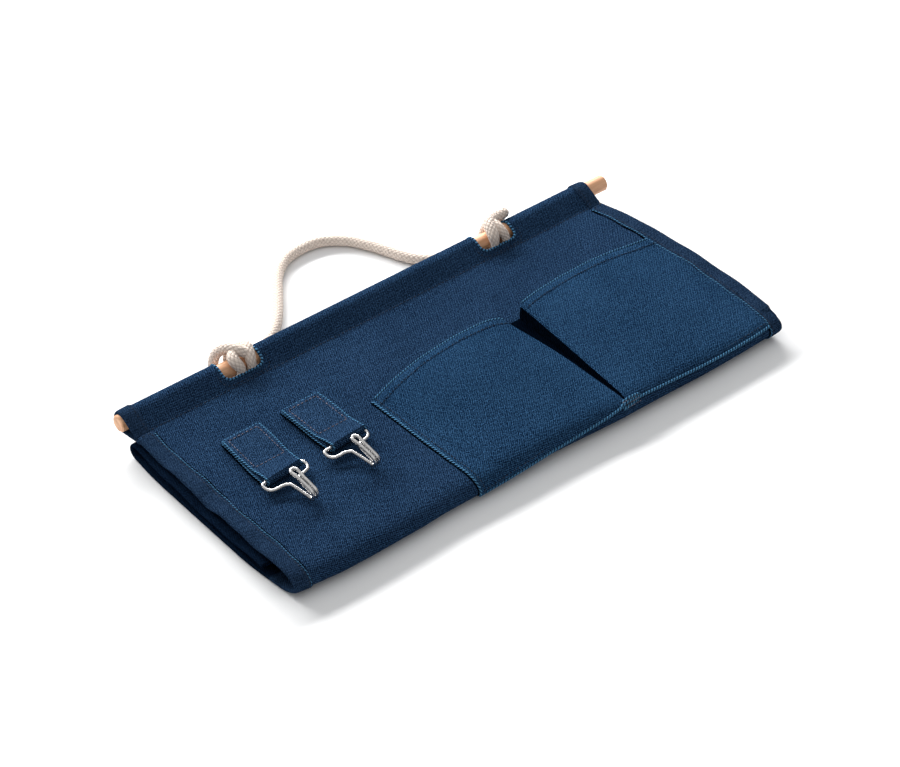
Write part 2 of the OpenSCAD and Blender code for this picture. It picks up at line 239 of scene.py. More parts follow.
def overlock_and_highlight_material():
    """A cut edge sewn over with slanting light threads, their lighter turns partly thread colour and partly a
    painted highlight on the raised edge; v runs along it in mm.
    """
    m, nt, p = new_material("overlocked_edge_and_painted_highlight")
    uv, u, v = cloth_uv(nt)
    turns = math_node(nt, "MULTIPLY_ADD", v, 2 * math.pi / OVERLOCK_PITCH, math_node(nt, "MULTIPLY", u, 0.5))
    uneven = noise(nt, uv, 0.5, 2.0)
    lit = math_node(nt, "MULTIPLY_ADD", uneven, 1.5, wave(nt, turns))
    colour = mix_colour(nt, ramp(nt, lit, -0.2, 1.4), (0.0030, 0.0140, 0.0380), (0.0850, 0.2300, 0.4000))
    link(nt, colour, p.inputs["Base Color"])
    p.inputs["Roughness"].default_value = 0.95
    p.inputs["Specular IOR Level"].default_value = 0.0
    link(nt, bump(nt, wave(nt, turns), 0.0004), p.inputs["Normal"])
    return m


edge_threads_and_highlight = overlock_and_highlight_material()
thread_mat = thread_material("thread_navy", (0.006, 0.011, 0.022), (0.050, 0.062, 0.090))
# pale stitch thread; its light flecks are painted glints, the rest is the thread's colour
thread_pale_with_painted_glints = thread_material("thread_pale_with_painted_glints", (0.020, 0.024, 0.038), (0.240, 0.220, 0.270))


def rope_material():
    """A round braid: u is four times the angle round the rope, v runs along it in mm."""
    m, nt, p = new_material("cotton_rope")
    uv, around, v = cloth_uv(nt)
    length = math_node(nt, "MULTIPLY", v, BRAID_PER_MM)
    one, two = (math_node(nt, "ABSOLUTE", wave(nt, math_node(nt, op, around, length)))
                for op in ("ADD", "SUBTRACT"))
    cell = math_node(nt, "POWER", math_node(nt, "MULTIPLY", one, two), 0.6)
    fibre = noise(nt, uv, 1.6, 3.0, 0.7)
    broad = noise(nt, uv, 0.12, 2.0)
    # the braid's grooves are painted darker than its raised strands: painted shade
    col = mix_colour(nt, ramp(nt, cell, 0.05, 0.65), (0.60, 0.48, 0.40), (0.86, 0.74, 0.65))
    for value, lo, share, tint in ((fibre, 0.42, 0.4, (0.72, 0.59, 0.50)),
                                   (broad, 0.4, 0.2, (0.84, 0.73, 0.64))):
        col = mix_colour(nt, math_node(nt, "MULTIPLY", ramp(nt, value, lo, 0.7), share), col, tint)
    link(nt, col, p.inputs["Base Color"])
    p.inputs["Roughness"].default_value = 0.92
    p.inputs["Sheen Weight"].default_value = 0.15
    p.inputs["Specular IOR Level"].default_value = 0.2
    link(nt, bump(nt, math_node(nt, "MULTIPLY_ADD", fibre, 0.35, cell), 0.0004), p.inputs["Normal"])
    return m


rope_mat = rope_material()


def wood_material():
    m, nt, p = new_material("beech")
    tc = nt.nodes.new("ShaderNodeTexCoord")
    grain = noise(nt, mapped(nt, tc.outputs["Object"], (6.0, 190.0, 190.0)), 1.0, 4.0, 0.6)
    flecks = noise(nt, mapped(nt, tc.outputs["Object"], (60.0, 900.0, 900.0)), 1.0, 2.0, 0.5)
    col = mix_colour(nt, ramp(nt, grain, 0.35, 0.65), (0.62, 0.30, 0.15), (0.88, 0.52, 0.31))
    col = mix_colour(nt, ramp(nt, flecks, 0.62, 0.75, 0.0, 0.5), col, (0.38, 0.19, 0.09))
    link(nt, col, p.inputs["Base Color"])
    link(nt, ramp(nt, grain, 0.3, 0.7, 0.45, 0.6), p.inputs["Roughness"])
    link(nt, bump(nt, grain, 0.0001), p.inputs["Normal"])
    return m


wood_mat = wood_material()


def metal_material():
    m, nt, p = new_material("nickel_wire")
    tc = nt.nodes.new("ShaderNodeTexCoord")
    n = noise(nt, tc.outputs["Object"], 400.0, 3.0)
    colour = mix_colour(nt, ramp(nt, n, 0.3, 0.7), (0.52, 0.51, 0.50), (0.66, 0.65, 0.64))
    link(nt, colour, p.inputs["Base Color"])
    p.inputs["Metallic"].default_value = 1.0
    link(nt, ramp(nt, n, 0.3, 0.7, 0.26, 0.34), p.inputs["Roughness"])
    return m


metal_mat = metal_material()


# ---------------------------------------------------------------- mesh helpers
def make_object(name, verts, faces, uvs=None, material=None, smooth=True):
    """verts are in the design frame; uvs is a pair for each vertex, or for each face corner."""
    mesh = bpy.data.meshes.new(name)
    mesh.from_pydata(row(verts).tolist(), [], [list(map(int, f)) for f in faces])
    if uvs is not None:
        layer = mesh.uv_layers.new(name="cloth")
        uvs = np.asarray(uvs, np.float32)
        if len(uvs) != len(mesh.loops):
            index = np.zeros(len(mesh.loops), np.int32)
            mesh.loops.foreach_get("vertex_index", index)
            uvs = uvs[index]
        layer.data.foreach_set("uv", uvs.ravel())
    mesh.polygons.foreach_set("use_smooth", [smooth] * len(mesh.polygons))
    mesh.update()
    o = bpy.data.objects.new(name, mesh)
    bpy.context.scene.collection.objects.link(o)
    if material is not None:
        mesh.materials.append(material)
    return o


def lengths_along(path):
    """The distance from a path's start to each of its points."""
    return np.concatenate([[0], np.cumsum(np.linalg.norm(np.diff(path, axis=0), axis=1))])


def grid_faces(nu, nv, base=0, close_u=False, flip=False):
    out = []
    for j in range(nv - 1):
        for i in range(nu if close_u else nu - 1):
            a = base + j * nu + i
            b = base + j * nu + (i + 1) % nu
            c = base + (j + 1) * nu + (i + 1) % nu
            d = base + (j + 1) * nu + i
            out.append((a, d, c, b) if flip else (a, b, c, d))
    return out


def shell(name, outer, inner, uv, material):
    """A closed sheet from two grids of points, (rows, columns, 3)."""
    nv, nu = outer.shape[:2]
    n = nu * nv
    verts = np.concatenate([outer.reshape(-1, 3), inner.reshape(-1, 3)])
    faces = grid_faces(nu, nv) + grid_faces(nu, nv, n, flip=True)
    loop = (
        [i for i in range(nu)]
        + [j * nu + nu - 1 for j in range(1, nv)]
        + [(nv - 1) * nu + i for i in range(nu - 2, -1, -1)]
        + [j * nu for j in range(nv - 2, 0, -1)]
    )
    for a, b in zip(loop, loop[1:] + loop[:1]):
        faces.append((a, a + n, b + n, b))
    uvs = np.concatenate([uv.reshape(-1, 2), uv.reshape(-1, 2)])
    return make_object(name, verts, faces, uvs, material)


def solid_sweep(name, rings, material, along=None, across=None):
    """A closed solid from rings of points, (rings, points, 3)."""
    nv, nu = rings.shape[:2]
    faces = grid_faces(nu, nv, close_u=True)
    faces += [tuple(range(nu - 1, -1, -1)), tuple((nv - 1) * nu + i for i in range(nu))]
    if across is None:
        d = np.linalg.norm(rings[:, 1:] - rings[:, :-1], axis=2)
        last = np.linalg.norm(rings[:, :1] - rings[:, -1:], axis=2)
        across = np.concatenate([np.zeros((nv, 1)), np.cumsum(np.concatenate([d, last], 1), axis=1)], axis=1)
    if along is None:
        along = lengths_along(rings.mean(axis=1))
    uv = np.stack([across, np.repeat(np.asarray(along)[:, None], nu + 1, axis=1)], axis=2)
    corners = np.stack([uv[:-1, :-1], uv[:-1, 1:], uv[1:, 1:], uv[1:, :-1]], axis=2).reshape(-1, 2)
    ends = np.concatenate([uv[0, nu - 1::-1], uv[-1, :nu]])
    return make_object(name, rings.reshape(-1, 3), faces, np.concatenate([corners, ends]), material)


def spline(points, step):
    """Catmull-Rom through points of any width, resampled about step apart."""
    p = np.asarray(points, float)
    p = np.concatenate([[2 * p[0] - p[1]], p, [2 * p[-1] - p[-2]]])
    out = []
    for i in range(1, len(p) - 2):
        t = np.linspace(0, 1, 16, endpoint=False)[:, None]
        a, b, c, d = p[i - 1], p[i], p[i + 1], p[i + 2]
        out.append(0.5 * (2 * b + (c - a) * t + (2 * a - 5 * b + 4 * c - d) * t**2
                          + (3 * b - a - 3 * c + d) * t**3))
    out = np.concatenate([*out, [p[-2]]])
    along = lengths_along(out[:, :3])
    at = np.linspace(0, along[-1], max(2, int(math.ceil(along[-1] / step)) + 1))
    return np.stack([np.interp(at, along, out[:, k]) for k in range(out.shape[1])], axis=1), at


def frames(path):
    """Two side vectors at each point of a path that don't twist along it."""
    t = np.gradient(path, axis=0)
    t /= np.linalg.norm(t, axis=1)[:, None]
    u = np.cross(t[0], [0.0, 0.0, 1.0])
    if np.linalg.norm(u) < 0.2:
        u = np.cross(t[0], [0.0, 1.0, 0.0])
    us = []
    for d in t:
        u = u - d * (u @ d)
        u /= np.linalg.norm(u)
        us.append(u)
    us = np.array(us)
    return us, np.cross(t, us)


def circles(path, radius, sides, relief=None):
    """A ring of points round each point of a path; relief(angle) scales their radii."""
    u, v = frames(path)
    ang = np.linspace(0, 2 * math.pi, sides, endpoint=False)
    r = np.broadcast_to(np.asarray(radius, float), (len(path),))[:, None]
    if relief is not None:
        r = r * relief(ang[None, :])
    return path[:, None] + r[..., None] * (
        np.cos(ang)[None, :, None] * u[:, None] + np.sin(ang)[None, :, None] * v[:, None])


def tube(name, path, radius, sides, material, along=None, relief=None):
    """A round tube along a path; relief(angle, length) scales its radius."""
    if along is None:
        along = lengths_along(path)
    scale = None if relief is None else lambda angle: relief(angle, along[:, None])
    rings = circles(path, radius, sides, scale)
    around = np.broadcast_to(np.linspace(0, 8 * math.pi, sides + 1), (len(path), sides + 1))
    return solid_sweep(name, rings, material, along=along, across=around)


def braid(angle, along):
    """The raised strands of a round braid."""
    u, v = 4 * angle, BRAID_PER_MM * along
    return 0.965 + 0.045 * np.sqrt(np.abs(np.sin(u + v) * np.sin(u - v)))


def declare(piece, body, slot_name, *nodes):
    if body is not None:
        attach(piece, body)
    if nodes:
        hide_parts(*nodes)
    return piece


def bend(piece, slot_name, across, *nodes):
    """Hide the parts that a bending piece replaces and bake its transform into its mesh; across, the two
    bodies and where the bend starts and ends, is not used.
    """
    declare(piece, None, slot_name, *nodes)
    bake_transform(piece)


# ---------------------------------------------------------------- rope handle
ROPE_R = 4.0
handle_route = [
    (-112, 8, 12.5), (-106, 10.6, 9.6), (-99, 13.4, 6.8), (-89, 16.4, 4.8), (-77, 20, 4.2),
    (-66, 25.5, 4.2), (-57, 32.5, 4.2), (-50, 39.4, 4.2), (-43, 48, 4.2), (-36, 57.4, 4.2),
    (-29, 67, 4.2), (-22, 76.5, 4.2), (-13.5, 85, 4.2), (-4, 91.4, 4.2), (4, 94.2, 4.2),
    (13, 95.4, 4.2), (22, 95.2, 4.2), (30, 93.2, 4.2), (37, 89, 4.2), (43, 84, 4.2),
    (48, 78.5, 4.2), (52, 71.5, 4.2), (56, 63.8, 4.2), (59, 56.5, 4.2), (62, 48.5, 4.2),
    (65, 41, 4.2), (69, 33.5, 4.2), (75, 26.5, 4.2), (83, 20.8, 4.2), (92, 16.8, 4.8),
    (100, 13.6, 6.8), (106.5, 10.6, 9.6), (112, 8, 12.5),
]


def polar(path):
    """Points given as x, degrees from the rear over the top, distance from the dowel, radius."""
    return np.array([
        (x, R * math.cos(math.radians(a)), DOWEL_Z + R * math.sin(math.radians(a)), r)
        for x, a, R, r in path])


left_hitch_path = polar([
    (-107.5, 316, 12.5, 3.6), (-105.5, 345, 11.2, 3.6), (-103.6, 15, 10.6, 3.7), (-102.4, 48, 10.4, 3.9),
    (-102.4, 82, 10.3, 4), (-104.3, 112, 10.2, 4), (-105.7, 138, 9.9, 3.8), (-106, 165, 9.3, 3.2),
    (-106.5, 200, 9.2, 3.1), (-108, 240, 9.4, 3.4), (-110.5, 275, 9.6, 3.6), (-112.5, 310, 9.8, 3.7),
    (-112.5, 345, 9.9, 3.7), (-111.8, 20, 9.9, 3.7), (-111.9, 55, 9.9, 3.8), (-113.8, 82, 10.0, 3.9),
    (-116.6, 103, 10.1, 4.0), (-116.9, 124, 10.0, 4.1), (-115.6, 145, 9.7, 3.8), (-114.6, 166, 9.3, 3.2),
    (-115.4, 200, 9.2, 3.1), (-117.6, 240, 9.8, 3.5), (-120.5, 275, 11.2, 3.7), (-122.1, 310, 13, 3.8),
    (-122.1, 338, 14.2, 3.8), (-121.4, 357, 14.4, 3.8), (-119.5, 20, 14.3, 3.8), (-116.4, 45, 13.9, 3.8),
    (-113.4, 68, 13.2, 3.8), (-110.4, 90, 12.2, 3.8), (-107.8, 105, 11.0, 3.7), (-106, 112, 10.2, 3.5),
])
right_hitch_path = polar([
    (112, 316, 12.5, 3.6), (115, 340, 10.9, 3.6), (117, 10, 10.1, 3.7), (117.6, 45, 9.9, 3.8),
    (117.8, 75, 9.9, 3.9), (118.2, 103, 9.9, 3.9), (118.8, 130, 9.8, 3.8), (119.9, 150, 9.5, 3.5),
    (120.4, 172, 9.2, 3.1), (120.4, 205, 9.2, 3.1), (118.5, 245, 9.5, 3.5), (117, 275, 10.4, 3.7),
])
right_bight_path = polar([
    (117, 296, 11, 3.7), (123, 325, 13.4, 3.7), (130, 352, 14, 3.7), (135.0, 20, 13, 3.7),
    (134, 42, 12.4, 3.9), (128.5, 47, 12.3, 4.2), (123, 50, 12.2, 4.2), (118, 60, 12.3, 4.3),
    (114.4, 76, 12.1, 4.4), (112.2, 97, 11, 4.4), (110.7, 126, 10.3, 4.3), (110.1, 146, 9.9, 3.9),
    (110, 168, 9.3, 3.2), (110.3, 205, 9.2, 3.1), (111, 255, 9.5, 3.5), (112, 290, 9.7, 3.6),
])


def rope(name, points, phase=0.0):
    pts, at = spline(points, 0.7)
    radius = pts[:, 3] if pts.shape[1] > 3 else ROPE_R
    return tube(name, pts[:, :3], radius, 40, rope_mat, along=at + phase, relief=braid), pts[:, :3]


handle, handle_line = rope("handle_rope", handle_route)
declare(handle, "handle", "rope", "rope_handle")
left_hitch, _ = rope("left_hitch", left_hitch_path, 3.0)
declare(left_hitch, "handle", "rope", "left_knot", "left_bight")
right_hitch, _ = rope("right_hitch", right_hitch_path, 7.0)
declare(right_hitch, "handle", "rope", "right_knot")
right_bight, _ = rope("right_bight_rope", right_bight_path, 11.0)
declare(right_bight, "handle", "rope", "right_bight")


# ---------------------------------------------------------------- cloth surfaces
class Cloth:
    """A folded layer. Each column x has a profile in Y and Z and the point where s is 0; s runs
    along it and h stands out from its outer face."""

    def __init__(self, xs, profile, shift=None):
        self.xs = np.asarray(xs, float)
        cols, zeros = zip(*(profile(x) for x in self.xs))
        lengths = [lengths_along(c) for c in cols]
        starts = [a[z] for a, z in zip(lengths, zeros)]
        lo = max(-s for s in starts)
        hi = min(a[-1] - s for a, s in zip(lengths, starts))
        self.s = np.arange(lo, hi, 0.25)
        self.lo, self.hi = float(lo), float(self.s[-1])
        yz, nrm = [], []
        for c, a, st in zip(cols, lengths, starts):
            p = np.stack([np.interp(self.s + st, a, c[:, k]) for k in (0, 1)], axis=1)
            t = np.gradient(p, axis=0)
            kernel = np.ones(7) / 7
            t = np.stack([np.convolve(np.pad(c, 3, mode="edge"), kernel, "valid") for c in t.T], 1)
            t /= np.linalg.norm(t, axis=1)[:, None]
            yz.append(p)
            nrm.append(np.stack([t[:, 1], -t[:, 0]], axis=1))
        self.yz, self.n = np.array(yz), np.array(nrm)
        self.shift = shift

    def at(self, x, s, h=0.0):
        x, s, h = np.broadcast_arrays(*(np.asarray(a, float) for a in (x, s, h)))
        fx = np.clip((x - self.xs[0]) / (self.xs[1] - self.xs[0]), 0, len(self.xs) - 1.001)
        fs = np.clip((s - self.s[0]) / 0.25, 0, len(self.s) - 1.001)
        i, j = fx.astype(int), fs.astype(int)
        wx, ws = (fx - i)[..., None], (fs - j)[..., None]

        def pick(a):
            return ((a[i, j] * (1 - wx) + a[i + 1, j] * wx) * (1 - ws)
                    + (a[i, j + 1] * (1 - wx) + a[i + 1, j + 1] * wx) * ws)

        p = pick(self.yz) + pick(self.n) * h[..., None]
        dx = 0.0 if self.shift is None else self.shift(x, s)
        return np.stack([x + dx, p[..., 0], p[..., 1]], axis=-1)


def smoothstep(t):
    t = np.clip(t, 0, 1)
    return t * t * (3 - 2 * t)


def ripple(x, y, seed):
    """Slow uneven waves, a sum of sines."""
    r = np.random.default_rng(seed)
    out = 0.0
    for _ in range(6):
        kx, ky, ph = r.uniform(0.008, 0.035), r.uniform(0.01, 0.045), r.uniform(0, 6.28)
        out = out + np.sin(kx * x + ky * y + ph) / 6
    return out


FRONT_X = [-213, -200, -186, -171, -150, -108, -90, -50, 0, 28, 61, 98, 134, 173, 200, 213]
FRONT_Y = [-186.5, -188, -190.2, -191.8, -192.4, -192.4, -191.6, -191.9, -192.2, -194.0, -196.2,
           -197, -198.3, -198.4, -197.8, -197.3]


def front_y(x):
    return float(np.interp(x, FRONT_X, FRONT_Y))


def fold_top(x):
    return 17.4 - 2.6 * (x + HALF_W) / (2 * HALF_W) + 1.8 * max(0.0, (x - 150) / 60)


def fold_bottom(x):
    return 1.3 + 1.6 * max(0.0, (x + 40) / 240)


def tangent(y, z, side):
    """Degrees round the dowel where a line from a point meets the sleeve's round."""
    away = math.degrees(math.acos(SLEEVE_R / math.hypot(y, z - DOWEL_Z)))
    return math.degrees(math.atan2(z - DOWEL_Z, y)) % 360 + side * away


def upper_profile(x):
    """Sleeve's underside, over the dowel, top layer, front fold, front half of the bottom layer."""
    pts = [np.stack([np.linspace(-26, -17, 20), np.full(20, SLEEVE_UNDER_Z)], 1)]
    ang = np.radians(np.linspace(tangent(-17.0, SLEEVE_UNDER_Z, 1) - 360, tangent(SEAM_Y, SEAM_Z, -1), 90))
    pts.append(np.stack([SLEEVE_R * np.cos(ang), DOWEL_Z + SLEEVE_R * np.sin(ang)], 1))
    yf = front_y(x) - 1.4
    zt, zb = fold_top(x), fold_bottom(x)
    hh = (zt - zb) / 2
    depth = hh * 2.1
    t = np.linspace(0, 1, 200)
    y_top = SEAM_Y + (yf + depth - SEAM_Y) * t
    sag = 0.9 * np.sin(math.pi * t) ** 0.8
    ease = np.exp((y_top - SEAM_Y) / 9.0)
    middle = np.sin(math.pi * t)
    z_top = SEAM_Z - 1.4 + 1.4 * ease + (zt - SEAM_Z + 1.4) * smoothstep(t) - sag
    z_top = z_top + 0.8 * ripple(x, y_top, 3) * middle
    edge = max(0.0, -x - 188) / 17
    z_top = z_top - edge**2 * middle * (1 + 1.3 * np.sin(y_top / 8.5) + 0.6 * np.sin(y_top / 4.1))
    lift = smoothstep((x - 120) / 85) * np.sin(math.pi * t ** 0.85) ** 0.8
    curl = smoothstep((x - 188) / 20) * smoothstep(t * 5) * (0.92 + 0.08 * np.sin(y_top / 9.0))
    z_top = z_top + 4.6 * lift + 0.35 * lift * np.sin(y_top / 6.5) + 2.2 * curl
    # the slope from the sleeve eases into the flat
    lead = np.linspace(0, 1, 12)[1:-1]
    a = np.array([pts[-1][-1][0], pts[-1][-1][1]])
    pts.append(a + (np.array([SEAM_Y, SEAM_Z]) - a) * lead[:, None])
    zero = sum(len(p) for p in pts)
    pts.append(np.stack([y_top, z_top], 1))
    ang = np.radians(np.linspace(90, 270, 60))[1:-1]
    zc = (zt + zb) / 2
    pts.append(np.stack([yf + depth + depth * np.cos(ang), zc + hh * np.sin(ang)], 1))
    y_low = np.linspace(yf + depth, FRONT_SHEET_END_Y, 70)
    pts.append(np.stack([y_low, zb + (1.25 - zb) * smoothstep((y_low - yf - depth) / 40)], 1))
    return np.concatenate(pts), zero


columns = np.linspace(-213, 213, 143)


def upper_shift(x, s):
    """The top layer's right edge bows out, and the lower half lies further left."""
    front = np.clip(s / 178, 0, 1)
    bow = smoothstep((x - 60) / 145) * (3.2 * np.sin(math.pi * front) ** 0.6 + 4.6 * smoothstep(front * 1.2))
    return bow - LOWER_SHIFT * smoothstep((s - 172) / 60)


upper = Cloth(columns, upper_profile, shift=upper_shift)


def lower_profile(x):
    """Rear half of the bottom layer, rear fold, inner flap."""
    pts = [np.stack([np.linspace(REAR_SHEET_END_Y, -16, 60), np.full(60, FOOT_Z)], 1)]
    top = 10.6 + 0.5 * math.sin(x / 47)
    ang = np.radians(np.linspace(-90, 90, 50))[1:-1]
    zc, hh = (top + FOOT_Z) / 2, (top - FOOT_Z) / 2
    pts.append(np.stack([REAR_FOLD_Y + 5.6 * np.cos(ang), zc + hh * np.sin(ang)], 1))
    zero = sum(len(p) for p in pts)
    t = np.linspace(0, 1, 120)
    tip = front_y(x) + 26
    y = REAR_FOLD_Y + (tip - REAR_FOLD_Y) * t
    z = top - 2.4 * smoothstep(t * 2.2) + 0.5 * ripple(x, y, 8) * t
    edge = max(0.0, -x - 190) / 20
    z = z + edge * (0.9 * (1 + np.sin(y / 14)) + 0.4 * (1 + np.sin(y / 6.3)))
    pts.append(np.stack([y, z], 1))
    return np.concatenate(pts), zero


lower_columns = columns - LOWER_SHIFT
lower = Cloth(lower_columns, lower_profile,
              shift=lambda x, s: 2.6 * np.exp(-((s + 4) / 26.0) ** 2) * smoothstep(-x / 60))

FRONT_FOLD = ("bottom_layer", "top_layer", row((0, 0, 3.0))[0], row((0, 0, 12.0))[0])
REAR_FOLD = ("bottom_layer", "inner_flap", row((0, 0, 3.5))[0], row((0, 0, 5.0))[0])


def layer(name, cloth, X, S, H, thick, material):
    """A closed sheet that follows a cloth, its outer face at height H above it."""
    return shell(name, cloth.at(X, S, H), cloth.at(X, S, H - thick), np.stack([X, S], axis=2), material)


def spaced(lo, hi, step, extra=()):
    v = np.arange(lo, hi, step)
    v = np.concatenate([v, [hi], np.asarray(extra, float)])
    v = np.unique(np.round(v, 3))
    keep = np.concatenate([[True], np.diff(v) > 0.25])
    return v[keep]


# ---- main canvas: sleeve, top layer, front fold and the front half of the bottom layer
NOTCH_W, NOTCH_Y, NOTCH_R = 32.0, -12.0, 5.0
NOTCH_MIDS = (-113.0, 113.0)
xs = spaced(-HALF_W, HALF_W, 2.6)
ss = spaced(upper.lo + 0.5, upper.hi - 0.5, 2.4)
ss = np.unique(np.concatenate([ss, np.arange(-60, 0, 0.8)]))
ss = ss[ss > upper.lo + 0.5]
main_canvas = layer("main_canvas", upper, *np.meshgrid(xs, ss), 0.0, CLOTH_T, canvas)


def rounded_cutter(name, x0, x1, y0, y1, radius):
    pts = []
    for cx, cy, a0 in ((x0 + radius, y0 + radius, 180), (x1 - radius, y0 + radius, 270),
                       (x1 - 1, y1 - 1, 0), (x0 + 1, y1 - 1, 90)):
        r = radius if y0 + radius == cy else 1
        for a in np.radians(np.linspace(a0, a0 + 90, 9)):
            pts.append((cx + r * math.cos(a), cy + r * math.sin(a)))
    pts = np.array(pts)
    n = len(pts)
    low = np.c_[pts, np.full(n, 2.0)]
    high = np.c_[pts, np.full(n, 60.0)]
    faces = [tuple(range(n - 1, -1, -1)), tuple(range(n, 2 * n))]
    faces += [(i, (i + 1) % n, n + (i + 1) % n, n + i) for i in range(n)]
    return make_object(name, np.concatenate([low, high]), faces, None, None, False)


def cut(target, cutters):
    for c in cutters:
        m = target.modifiers.new("cut", "BOOLEAN")
        m.operation = "DIFFERENCE"
        m.solver = "EXACT"
        m.object = c
    deps = bpy.context.evaluated_depsgraph_get()
    mesh = bpy.data.meshes.new_from_object(target.evaluated_get(deps))
    target.modifiers.clear()
    old = target.data
    target.data = mesh
    bpy.data.meshes.remove(old)
    for c in cutters:
        bpy.data.objects.remove(c)
    return target


cutters = []
for i, mid in enumerate(NOTCH_MIDS):
    cutters.append(rounded_cutter(f"cutter_{i}", mid - NOTCH_W / 2, mid + NOTCH_W / 2, NOTCH_Y, 30, NOTCH_R))
cut(main_canvas, cutters)
bend(main_canvas, "canvas", FRONT_FOLD,
     "top_panel", "left_sleeve", "middle_sleeve", "right_sleeve", "front_fold")

# ---- rear half of the bottom layer, rear fold and inner flap
xs_low = spaced(-HALF_W - LOWER_SHIFT, HALF_W - LOWER_SHIFT, 3.4)
ss_low = spaced(lower.lo + 0.5, lower.hi - 0.5, 2.6, np.arange(-20, 4, 0.9))
# the inner flap is given the darker canvas: painted shade
flap_canvas = layer("inner_canvas", lower, *np.meshgrid(xs_low, ss_low), 0.0, CLOTH_T, canvas_painted_shade)
bend(flap_canvas, "canvas", REAR_FOLD, "bottom_panel", "rear_fold", "inner_flap", "flap_hem")


# ---------------------------------------------------------------- binding tape
def tape_section(x_edge, toward, width=TAPE_W, gap=0.12, thick=0.75, cloth=CLOTH_T):
    """Closed outline in x and h of a tape folded round an edge."""
    i = toward
    xo = x_edge - i * (gap + 0.1)
    pts = [
        (x_edge + i * width, gap), (x_edge + i * (width + 0.2), gap + thick * 0.6),
        (x_edge + i * (width - 0.6), gap + thick), (x_edge + i * width * 0.6, gap + thick * 1.25),
        (x_edge + i * 3.0, gap + thick * 1.1), (x_edge + i * 0.6, gap + thick * 0.9),
        (xo - i * thick * 0.8, gap * 0.5), (xo - i * thick, -cloth * 0.5),
        (xo - i * thick * 0.8, -cloth - gap * 0.5), (x_edge + i * 0.6, -cloth - gap - thick * 0.9),
        (x_edge + i * (width - 1.5), -cloth - gap - thick), (x_edge + i * (width - 1), -cloth - gap),
        (x_edge + i * 5, -cloth - gap), (x_edge + i * 0.2, -cloth - gap * 0.6),
        (xo + i * 0.05, -cloth * 0.5), (x_edge + i * 0.2, gap * 0.6), (x_edge + i * 5, gap),
    ]
    return np.array(pts)


def tape(name, cloth, x_edge, toward, s0, s1, material, step=2.2, seed=1, width=TAPE_W, painted_shade_from=None):
    s = spaced(s0, s1, step)
    sec = tape_section(x_edge, toward, width)
    pucker = 0.35 * np.sin(s / 7.3 + seed) + 0.25 * np.sin(s / 3.1 + 2 * seed)
    X = sec[None, :, 0] + toward * pucker[:, None] * (np.abs(sec[None, :, 0] - x_edge) > width * 0.7)
    H = sec[None, :, 1] + 0.18 * np.sin(s[:, None] / 4.7 + seed) * (sec[None, :, 1] > 0.3)
    rings = cloth.at(X, np.broadcast_to(s[:, None], X.shape), H)
    if toward > 0:
        rings = rings[:, ::-1]
    o = solid_sweep(name, rings, material, along=s)
    # faces further along than the given point get the darker tape: painted shade where the tape runs under
    # onto the bottom layer
    if painted_shade_from is not None:
        o.data.materials.append(tape_painted_shade)
        for face in o.data.polygons:
            face.material_index = int(s[min(face.vertices) // rings.shape[1]] > painted_shade_from)
    return o


SEAM_S = 2.0
for side, toward, tag in ((-HALF_W, 1, "left"), (HALF_W, -1, "right")):
    t = tape(f"{tag}_binding", upper, side, toward, SEAM_S, upper.hi - 1, tape_mat,
             seed=2 if toward > 0 else 5, painted_shade_from=upper.hi - 88)
    bend(t, "binding", FRONT_FOLD, f"top_{tag}_binding", f"bottom_{tag}_binding")
    t = tape(f"{tag}_sleeve_end", upper, side, toward, upper.lo + 5, SEAM_S - 0.4, tape_mat,
             step=1.2, seed=3, width=10.5)
    declare(t, "top_layer", "binding", f"{tag}_sleeve_binding")
    edge = side - LOWER_SHIFT
    # the inner flap's tape is the darker tape: painted shade
    t = tape(f"{tag}_inner_binding", lower, edge, toward, lower.lo + 1, lower.hi - 1, tape_painted_shade, seed=6)
    bend(t, "binding", REAR_FOLD, f"flap_{tag}_binding")


# ---------------------------------------------------------------- stitches
def stitches(name, lines, material, length=2.3, gap=0.9, radius=0.24):
    """Short raised threads along lines of points in the design frame."""
    verts, faces, uvs = [], [], []
    prof = [(-0.5, 0.25), (-0.36, 0.85), (0, 1.0), (0.36, 0.85), (0.5, 0.25)]
    for line in lines:
        line = np.asarray(line, float)
        along = lengths_along(line)
        count = int((along[-1] + gap) / (length + gap))
        if count < 1:
            continue
        pitch = along[-1] / count
        for k in range(count):
            mid = (k + 0.5) * pitch
            a = np.array([np.interp(mid - length / 2, along, line[:, c]) for c in range(3)])
            b = np.array([np.interp(mid + length / 2, along, line[:, c]) for c in range(3)])
            d = b - a
            n = np.linalg.norm(d)
            if n < 0.2:
                continue
            d /= n
            u = np.cross(d, [0.1, 0.2, 1.0])
            u /= np.linalg.norm(u)
            v = np.cross(d, u)
            base = len(verts)
            for t, r in prof:
                for q in range(6):
                    w = q * math.pi / 3
                    verts.append((a + b) / 2 + d * n * t + radius * r * (math.cos(w) * u + math.sin(w) * v))
                    uvs.append((q * 0.3, mid + t * n))
            faces += grid_faces(6, 5, base, close_u=True)
            faces += [tuple(base + q for q in range(5, -1, -1)), tuple(base + 24 + q for q in range(6))]
    return make_object(name, np.array(verts), faces, np.array(uvs), material)


sleeve_lines = [upper.at(np.linspace(-HALF_W + TAPE_W, HALF_W - TAPE_W, 260), 0.2, 0.12)]
for mid in NOTCH_MIDS:
    w = NOTCH_W / 2 + 3.6
    s_front = -1.6
    around = [(mid - w, -12.5), (mid - w, s_front - 6), (mid - w + 2, s_front - 1.5),
              (mid - w + 6, s_front), (mid, s_front + 0.2), (mid + w - 6, s_front),
              (mid + w - 2, s_front - 1.5), (mid + w, s_front - 6), (mid + w, -12.5)]
    a, _ = spline([(x, s, 0.0) for x, s in around], 1.0)
    sleeve_lines.append(upper.at(a[:, 0], a[:, 1], 0.12))
declare(stitches("sleeve_stitches", sleeve_lines, thread_mat), "top_layer", "thread", "sleeve_seam_thread")

